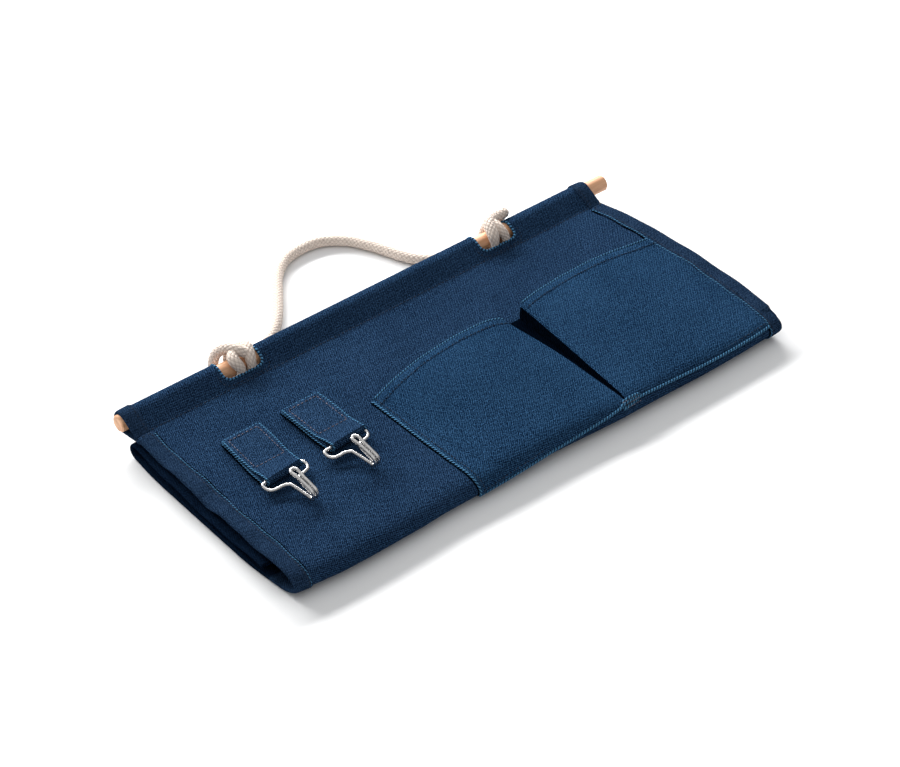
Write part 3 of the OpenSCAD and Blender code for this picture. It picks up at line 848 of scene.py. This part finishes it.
for side, toward, tag, radius in ((-HALF_W, 1, "left", 0.42), (HALF_W, -1, "right", 0.5)):
    s = np.linspace(4, upper.hi - 64, 240)
    wander = 0.5 * np.sin(s / 11.0 + 2) + 0.3 * np.sin(s / 4.2)
    # along each binding: a lighter edge line (overlock threads and painted highlight) and a near-black line
    # just inside it, a painted shadow
    for part, inset, h, r, material in (("edge", 10.6, 0.75, radius, edge_threads_and_highlight),
                                        ("painted_shadow", 11.6, 0.2, 0.45, canvas_painted_deep_shade)):
        path = upper.at(side + toward * (inset + wander), s, h)
        bend(tube(f"{tag}_binding_{part}", path, r, 8, material), "binding", FRONT_FOLD)
tape_lines = []
for side, toward in ((-HALF_W, 1), (HALF_W, -1)):
    s = np.linspace(4, upper.hi - 70, 200)
    tape_lines.append(upper.at(side + toward * 8.8, s, 1.05))
bend(stitches("binding_stitches", tape_lines, thread_mat), "thread", FRONT_FOLD)
end_lines = []
for side, toward in ((-HALF_W, 1), (HALF_W, -1)):
    end_lines.append(upper.at(side + toward * 8.4, np.linspace(-34, 0, 60), 1.05))
    end_lines.append(upper.at(np.linspace(side + toward * 1, side + toward * 9.5, 20), np.full(20, 3.2), 1.1))
declare(stitches("sleeve_end_stitches", end_lines, thread_mat), "top_layer", "thread")


# ---------------------------------------------------------------- notch hems
for mid, tag in zip(NOTCH_MIDS, ("left", "right")):
    w, r = NOTCH_W / 2, NOTCH_R
    side = [(-w, y) for y in np.linspace(0, NOTCH_Y + r, 12)]
    side += [(r - w - r * math.cos(a), NOTCH_Y + r - r * math.sin(a))
             for a in np.radians(np.linspace(0, 90, 9))[1:]]
    plan = side + [(x, NOTCH_Y) for x in np.linspace(r - w, w - r, 16)[1:-1]]
    plan += [(-x, y) for x, y in side[::-1]]
    col = upper.yz[len(columns) // 2]
    top = (upper.s < 0) & (upper.s > -26)
    order = np.argsort(col[top, 0])
    ys, zs = col[top, 0][order], col[top, 1][order]
    line = np.array([(mid + x, y, float(np.interp(y, ys, zs)) - CLOTH_T / 2 + 0.15) for x, y in plan])
    # carry the hem on round the back of the sleeve
    back_arc = np.radians(np.linspace(88, -100, 26))
    rr = SLEEVE_R - CLOTH_T / 2 + 0.1
    first = np.array([(mid - w, rr * math.cos(a), DOWEL_Z + rr * math.sin(a)) for a in back_arc[::-1]])
    last = np.array([(mid + w, rr * math.cos(a), DOWEL_Z + rr * math.sin(a)) for a in back_arc])
    line = np.concatenate([first, line[1:-1], last])
    line, _ = spline(line, 1.2)
    hem = solid_sweep(f"{tag}_notch_hem", circles(line, 0.95, 10), edge_threads_and_highlight)
    declare(hem, "top_layer", "hem_edge", f"{tag}_notch_hem")


# ---------------------------------------------------------------- pockets
def smooth_rows(a, passes=3):
    for _ in range(passes):
        a = np.concatenate([a[:1], (a[:-2] + 2 * a[1:-1] + a[2:]) / 4, a[-1:]])
    return a


def shade_columns(o, columns, width, chosen):
    """Give the faces in some columns of a shell the near-black cloth: painted shade in the dark gap of the
    pleat.
    """
    o.data.materials.append(canvas_painted_deep_shade)
    for face in o.data.polygons:
        at = [v % (width * columns) % width for v in face.vertices]
        face.material_index = int(min(at) >= chosen[0] and max(at) <= chosen[-1] + 1)


def pocket(name, mouth_keys, bottom_keys, mouth_s, puff, pleat_columns, nu=120, nv=70, drop=0.85):
    """Keys are u, x, h across and mouth_s is u, s; puff is the crown's height in mm."""
    u = np.linspace(0, 1, nu)
    mk, bk = np.asarray(mouth_keys, float), np.asarray(bottom_keys, float)
    mx, mh = (smooth_rows(np.interp(u, mk[:, 0], mk[:, c])) for c in (1, 2))
    bx, bh = (smooth_rows(np.interp(u, bk[:, 0], bk[:, c])) for c in (1, 2))
    ms = smooth_rows(np.interp(u, *np.asarray(mouth_s, float).T), 12)
    bs = np.interp(bx, BOTTOM_X, [bottom_line(x) for x in BOTTOM_X])
    v = np.linspace(0, 1, nv)[:, None]
    X = mx * (1 - v) + bx * v
    X = X + 2.6 * np.sin(math.pi * v) * np.exp(-((X - 59.0) / 7.0) ** 2) * (mx[None, :] < 66)
    S = ms * (1 - v) + bs * v
    fall = (1 - v) ** drop
    H = mh * fall + bh * (1 - fall)
    H = H + puff * np.sin(math.pi * v ** 0.55) * np.sin(math.pi * np.clip(u * 1.1, 0, 1))[None, :] * (H > 1.2)
    H = H + 0.25 * ripple(X * 2, S * 2, 21) * np.sin(math.pi * v)
    # the pocket cloth is painted lighter than the panel: painted light
    o = layer(name, upper, X, S, H, POCKET_T, canvas_pocket_painted_light)
    shade_columns(o, nv, nu, pleat_columns)
    bend(o, "canvas", FRONT_FOLD, name)
    return X, S, H


def bottom_line(x):
    """s of the pockets' bottom seam, which runs round the upper front of the fold."""
    hh = (fold_top(x) - fold_bottom(x)) / 2
    past = float(np.interp(x, [-64, -50, 10, 50, 68, 80, 134, 175, 200],
                           [18.0, 16.5, 13.0, 9.8, 6.8, 7.0, 8.6, 9.0, 8.6]))
    return -front_y(x) + SEAM_Y - hh * 1.25 + past * hh / 7.8


BOTTOM_X = [-80, -60, -45, -30, -15, 0, 15, 30, 45, 60, 70, 80, 90, 100, 115, 130, 145, 160, 175, 190, 205]
left_mouth = [(0, -64, 0.95), (0.06, -57, 1.2), (0.2, -40, 3.2), (0.38, -13, 5.7), (0.58, 14, 7.6),
              (0.74, 37, 8.6), (0.82, 46, 8.6), (0.88, 52, 8.2), (0.915, 55.2, 7.4),
              (0.935, 56.6, 5.6), (0.955, 57.6, 3.0), (0.975, 60.5, 1.3), (1.0, 68.0, 0.95)]
left_bottom = [(0, -61, 0.95), (0.84, 59, 1.0), (0.93, 66.2, 1.2), (1.0, 68, 0.95)]
left_ms = [(0, 69.4), (0.15, 64.5), (0.35, 59.5), (0.6, 58.0), (0.8, 59.6), (0.9, 62.5), (1, 68)]
PX, PS, PH = pocket("left_pocket", left_mouth, left_bottom, left_ms, 3.7, range(111, 119))

right_mouth = [(0, 70.6, 0.95), (0.02, 71.2, 2.4), (0.04, 72.2, 5.0), (0.055, 73.0, 7.4),
               (0.066, 73.8, 8.8), (0.078, 75.2, 9.5), (0.1, 78.0, 9.8), (0.2, 92, 9.5),
               (0.36, 112, 8.6), (0.55, 137, 7.4), (0.7, 156, 5.6), (0.85, 175, 2.6), (1.0, 194.6, 0.75)]
right_bottom = [(0, 66.6, 0.95), (0.04, 66.8, 1.1), (0.07, 67.2, 1.4), (0.1, 70, 1.5), (0.2, 86, 1.2),
                (1.0, 194.6, 0.8)]
right_ms = [(0, 64), (0.07, 60.5), (0.2, 57.0), (0.4, 54.0), (0.6, 53.2), (0.8, 55.0), (1, 58.4)]
QX, QS, QH = pocket("right_pocket", right_mouth, right_bottom, right_ms, 3.2, range(0, 9), nu=150, drop=0.75)


# the folded cloth down between the two pockets, painted near black as painted shade in the gap
vv = np.linspace(0, 1, 40)[:, None]
across = np.linspace(0, 1, 8)[None, :]
GX = (59.5 + 7.0 * vv ** 0.6) * (1 - across) + (75.5 - 9.0 * vv) * across
GS = 64.0 * (1 - vv) + bottom_line(67.0) * vv + 0 * across
GH = 0.45 + 0.3 * (1 - vv) * across
pleat = layer("pleat_floor", upper, GX, GS, GH, 0.4, canvas_painted_deep_shade)
bend(pleat, "canvas", FRONT_FOLD, "pocket_divider")


def lerp_cols(A, frac):
    """Values of a grid at a row given as a fraction."""
    f = frac * (A.shape[0] - 1)
    i = min(int(f), A.shape[0] - 2)
    return A[i] * (1 - (f - i)) + A[i + 1] * (f - i)


def hem_band(name, X, S, H, i0, i1, width, lift=0.32):
    """The doubled cloth along a pocket's mouth."""
    depth = S[-1] - S[0]
    rows = [0.0, 0.01, 0.25, 0.5, 0.75, 0.96, 1.0]
    outer, inner, uv = [], [], []
    for r in rows:
        frac = width * r / depth.mean()
        x, s, h = (lerp_cols(A, frac)[i0:i1] for A in (X, S, H))
        rise = lift * {0.0: 0.6, 0.96: 0.7, 1.0: 0.15}.get(r, 1.0)
        outer.append(upper.at(x, s - (0.5 if r == 0 else 0), h + rise))
        inner.append(upper.at(x, s - (0.5 if r == 0 else 0), h + 0.02))
        uv.append(np.stack([x, s], 1))
    return shell(name, np.array(outer), np.array(inner), np.array(uv), canvas_pocket_painted_light)


LEFT, RIGHT = (PX, PS, PH), (QX, QS, QH)
for name, grid, i0, i1 in (("left_mouth_hem", LEFT, 0, 113), ("right_mouth_hem", RIGHT, 10, 150)):
    declare(hem_band(name, *grid, i0, i1, 7.5), "top_layer", "canvas", name)

pocket_lines = []
for grid, i0, i1 in ((LEFT, 1, 112), (RIGHT, 13, 150)):
    depth = (grid[1][-1] - grid[1][0]).mean()
    x, s, h = (lerp_cols(A, 6.6 / depth)[i0:i1] for A in grid)
    pocket_lines.append(upper.at(x, s, h + 0.40))
declare(stitches("mouth_stitches", pocket_lines, thread_mat), "top_layer", "thread")

bottom_lines = []
for (X, S, H), i0, i1 in ((LEFT, 1, 118), (RIGHT, 13, 149)):
    bottom_lines.append(upper.at(X[-1][i0:i1], S[-1][i0:i1] - 3.2, H[-1][i0:i1] + 0.15))
bottom_lines.append(upper.at(PX[:, 0] + 3.0, PS[:, 0], 1.25 + 0.05 * PH[:, 4]))
bend(stitches("pocket_edge_stitches", bottom_lines, thread_mat), "thread", FRONT_FOLD)

# lighter lines along the pockets' sewn edges: overlock threads and a painted highlight
paths = {
    "left_pocket_bottom_edge": upper.at(PX[-1][:119], PS[-1][:119] + 0.1, PH[-1][:119] - 0.25),
    "left_pocket_side_edge": upper.at(PX[:, 0] - 0.1, PS[:, 0], PH[:, 0] - 0.3),
    "right_pocket_bottom_edge": upper.at(QX[-1][8:], QS[-1][8:] + 0.1, QH[-1][8:] - 0.25),
}
for name, path in paths.items():
    bend(tube(name, path, 1.0 if "bottom" in name else 0.8, 10, edge_threads_and_highlight), "hem_edge", FRONT_FOLD)

# lighter lines along the pockets' mouths: overlock threads and a painted highlight on the mouth's edge
for name, (X, S, H), i0, i1 in (("left_mouth_edge", LEFT, 2, 112), ("right_mouth_edge", RIGHT, 12, 148)):
    o = tube(name, upper.at(X[0][i0:i1], S[0][i0:i1] - 0.4, H[0][i0:i1] + 0.12), 0.75, 8, edge_threads_and_highlight)
    declare(o, "top_layer", "hem_edge")

# a near-black line beside the left pocket's side: painted shadow
o = tube("left_pocket_painted_shadow", upper.at(PX[:, 0] - 1.3, PS[:, 0], 0.2), 0.45, 8, canvas_painted_deep_shade)
bend(o, "canvas", FRONT_FOLD)

# ---- the pleats stacked and tacked together between the pockets
sb = bottom_line(68.0)
arch = np.sin(np.linspace(0, math.pi, 18)) ** 0.6
for n, (xa, xb, sa, sz, h) in enumerate((
    (60.5, 77.5, 0.2, -0.4, 2.3), (62.0, 75.0, 2.5, 1.5, 1.7), (63.5, 79.0, -1.9, -1.5, 2.9),
)):
    path = upper.at(np.linspace(xa, xb, 18), sb + np.linspace(sa, sz, 18), 0.5 + (h - 0.5) * arch)
    bend(tube(f"pleat_edge_{n}", path, 1.05, 10, edge_threads_and_highlight), "hem_edge", FRONT_FOLD)
tack_lines = [upper.at(np.linspace(62.5 + k, 76.5, 20), np.full(20, sb - 0.9 + k * 1.9), 3.0 - 0.3 * k)
              for k in range(3)]
tack = stitches("bar_tack", tack_lines, thread_pale_with_painted_glints, length=1.7, gap=0.5)
bend(tack, "thread", FRONT_FOLD, "divider_tack")


# ---------------------------------------------------------------- strap tabs and hooks
HINGE_Y, HINGE_Z = -96.2, 19.6
BAR_Y, BAR_Z = -108.2, 21.27


def strap(tag, mid, lean, turn):
    """One doubled strap: a sewn part, then a loop round the hook's bar."""
    t_s = 1.05
    r = 2.35
    arc = np.radians(np.linspace(95, 268, 22))
    mid_line = [(-58.4, 20.4), (-70, 20.45), (-84, 20.4), (-93, 20.5), (-98.5, 21.6)]
    mid_line += [(BAR_Y + r * math.cos(a), BAR_Z + r * math.sin(a)) for a in arc]
    mid_line += [(-104, 18.95), (-98, 18.9), (-90, 18.85), (-72, 18.8), (-58.6, 18.8)]
    line, at = spline([(0.0, y, z) for y, z in mid_line], 0.8)
    t = np.gradient(line, axis=0)
    t /= np.linalg.norm(t, axis=1)[:, None]
    nrm = np.stack([np.zeros(len(t)), t[:, 2], -t[:, 1]], axis=1)
    xs = np.linspace(-STRAP_HALF_W, STRAP_HALF_W, 26)
    outer, inner, uv = [], [], []
    for p, n, a in zip(line, nrm, at):
        front = np.clip((-94 - p[1]) / 14, 0, 1)
        pinch = 1 + 0.03 * math.sin(a / 9) - 0.04 * front
        x = mid + xs * pinch + lean * (p[1] + 80) * 0.01
        crown = 0.35 * front * np.cos(xs / STRAP_HALF_W * math.pi / 2) * (1 if a < at[-1] * 0.5 else 0)
        curl = 0.5 * (np.abs(xs) / STRAP_HALF_W) ** 6 * (1 if a < at[-1] * 0.42 else 0.2)
        skew = turn * xs * np.clip((-82 - p[1]) / 26, 0, 1)
        base = np.stack([x, p[1] + skew, np.full(26, p[2]) + crown + curl * 0.4], 1)
        outer.append(base + n * t_s / 2)
        inner.append(base - n * t_s / 2)
        uv.append(np.stack([x, np.full(26, a)], 1))
    o = shell(f"{tag}_strap", np.array(outer), np.array(inner), np.array(uv), strap_mat)
    joint = ("top_layer", f"{tag}_loop", row((0, HINGE_Y + 3, 0))[0], row((0, HINGE_Y - 3.4, 0))[0])
    bend(o, "canvas", joint, f"{tag}_tab", f"{tag}_tab_loop")
    # bound edges of the strap
    half = len(line) // 2
    for side, s_tag in ((0, "a"), (25, "b")):
        path = np.array([(outer[k][side] + inner[k][side]) / 2 for k in range(half + 8)])
        bend(tube(f"{tag}_strap_edge_{s_tag}", path, 0.72, 8, edge_threads_and_highlight), "hem_edge", joint)
    under = [i for i, p in enumerate(line) if i > half and p[2] < 19.4]
    path = np.array([(outer[k][0] + inner[k][0]) / 2 + (-0.9, 0, 0) for k in under])
    bend(tube(f"{tag}_strap_under_edge", path, 0.6, 8, edge_threads_and_highlight), "hem_edge", joint)
    # a near-black line under the strap's lower layer: painted shadow
    path = path + (-0.9, 0, -0.55)
    bend(tube(f"{tag}_strap_painted_shadow", path, 0.5, 8, canvas_painted_deep_shade), "canvas", joint)
    rear = np.array([(mid + x + lean * 0.2, -58.2, 20.3) for x in np.linspace(-14.2, 14.2, 20)])
    declare(tube(f"{tag}_strap_edge_c", rear, 0.62, 8, edge_threads_and_highlight), "top_layer", "hem_edge")
    thread_z = 21.12
    corners = [(-11.6, -61.2), (11.6, -61.2), (11.6, -93.0), (-11.6, -93.0), (-11.6, -61.2)]
    lines = []
    for (xa, ya), (xb, yb) in zip(corners, corners[1:]):
        xx, yy = np.linspace(xa, xb, 30), np.linspace(ya, yb, 30)
        lines.append(np.stack([mid + xx + lean * (yy + 80) * 0.01, yy, np.full(30, thread_z)], 1))
    s = stitches(f"{tag}_strap_stitches", lines, thread_pale_with_painted_glints, length=2.3, gap=0.8, radius=0.32)
    declare(s, "top_layer", "thread", f"{tag}_tab_stitching")


def hook(tag, mid, turn):
    """A doubled wire hook: arms from the bar, two wires to the tip, and back over the top."""
    bar = 14.5
    tip_y, tip_z = -32.0, -1.67
    half = [
        (0.0, 0, 0), (bar - 4, 0, 0), (bar, 0, 0), (bar + 1.6, -0.3, 0), (bar + 2.4, -2, -0.2),
        (bar + 2.4, -5, -0.6), (bar + 0.6, -7.8, -0.8), (11.6, -9, -0.6), (7.4, -9.8, -0.2), (4.6, -11.4, 0),
        (3.2, -13.6, 0), (1.7, tip_y + 6, tip_z + 0.3), (1.55, tip_y + 2, tip_z),
        (1.5, tip_y + 0.6, tip_z + 0.8), (1.5, tip_y, tip_z + 2.8), (1.5, tip_y + 0.3, tip_z + 4.8),
        (1.5, tip_y + 1.8, tip_z + 6.6), (1.6, -20, 7.8), (2.2, -13.4, 9.2), (2.1, -12, 9.4),
        (1.4, -10.7, 9.5),
    ]
    pts = [(-x, y, z) for x, y, z in half] + [(0, -10.2, 9.6)] + [(x, y, z) for x, y, z in half[::-1]]
    path, _ = spline([(mid + x - turn * y, BAR_Y + y + turn * x, BAR_Z + z) for x, y, z in pts], 0.5)
    declare(tube(f"{tag}_hook", path, WIRE_R, 18, metal_mat), f"{tag}_hook", "hook_wire", f"{tag}_hook")


strap("left", LEFT_STRAP_X, 5.5, 0.07)
strap("right", RIGHT_STRAP_X, -3.0, 0.07)
hook("left", LEFT_STRAP_X - 2.6, 0.08)
hook("right", RIGHT_STRAP_X - 3.4, 0.09)

# ---------------------------------------------------------------- dowel
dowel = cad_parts["dowel"]
dowel.data.materials.clear()
dowel.data.materials.append(wood_mat)

# ---------------------------------------------------------------- floor and light
floor_mesh = bpy.data.meshes.new("floor")
floor_mesh.from_pydata([(-6, -6, 0), (6, -6, 0), (6, 6, 0), (-6, 6, 0)], [], [(0, 1, 2, 3)])
floor = bpy.data.objects.new("floor", floor_mesh)
bpy.context.scene.collection.objects.link(floor)
floor_mat, _, floor_shader = new_material("floor_white")
floor_shader.inputs["Base Color"].default_value = (0.92, 0.92, 0.92, 1)
floor_shader.inputs["Roughness"].default_value = 0.9
floor_shader.inputs["Specular IOR Level"].default_value = 0.1
floor_mesh.materials.append(floor_mat)

world = bpy.data.worlds.new("studio")
bpy.context.scene.world = world
world.use_nodes = True
sky = world.node_tree
background = sky.nodes["Background"]
background.inputs["Color"].default_value = (0.98, 0.99, 1.0, 1)
direction = sky.nodes.new("ShaderNodeSeparateXYZ")
link(sky, sky.nodes.new("ShaderNodeTexCoord").outputs["Generated"], direction.inputs[0])
link(sky, ramp(sky, direction.outputs["Z"], 0.0, 1.0, 0.06, 0.80), background.inputs["Strength"])


def area_light(name, position, target, wide, high, power):
    """A softbox, wide along the floor, facing its target."""
    d = bpy.data.lights.new(name, "AREA")
    d.shape = "RECTANGLE"
    d.size = wide
    d.size_y = high
    d.energy = power
    o = bpy.data.objects.new(name, d)
    bpy.context.scene.collection.objects.link(o)
    z = np.array(position, float) - np.array(target, float)
    z /= np.linalg.norm(z)
    x = np.cross([0, 0, 1.0], z)
    x /= np.linalg.norm(x)
    y = np.cross(z, x)
    o.matrix_world = Matrix([[x[i], y[i], z[i], position[i]] for i in range(3)] + [[0, 0, 0, 1]])
    return o


area_light("key", (0.32, 1.71, 1.00), (0, 0, 0), 2.6, 0.34, 95)
area_light("fill", (-1.6, -0.9, 1.7), (0, 0, 0), 1.6, 1.6, 3)
bpy.context.scene.view_settings.view_transform = "Standard"
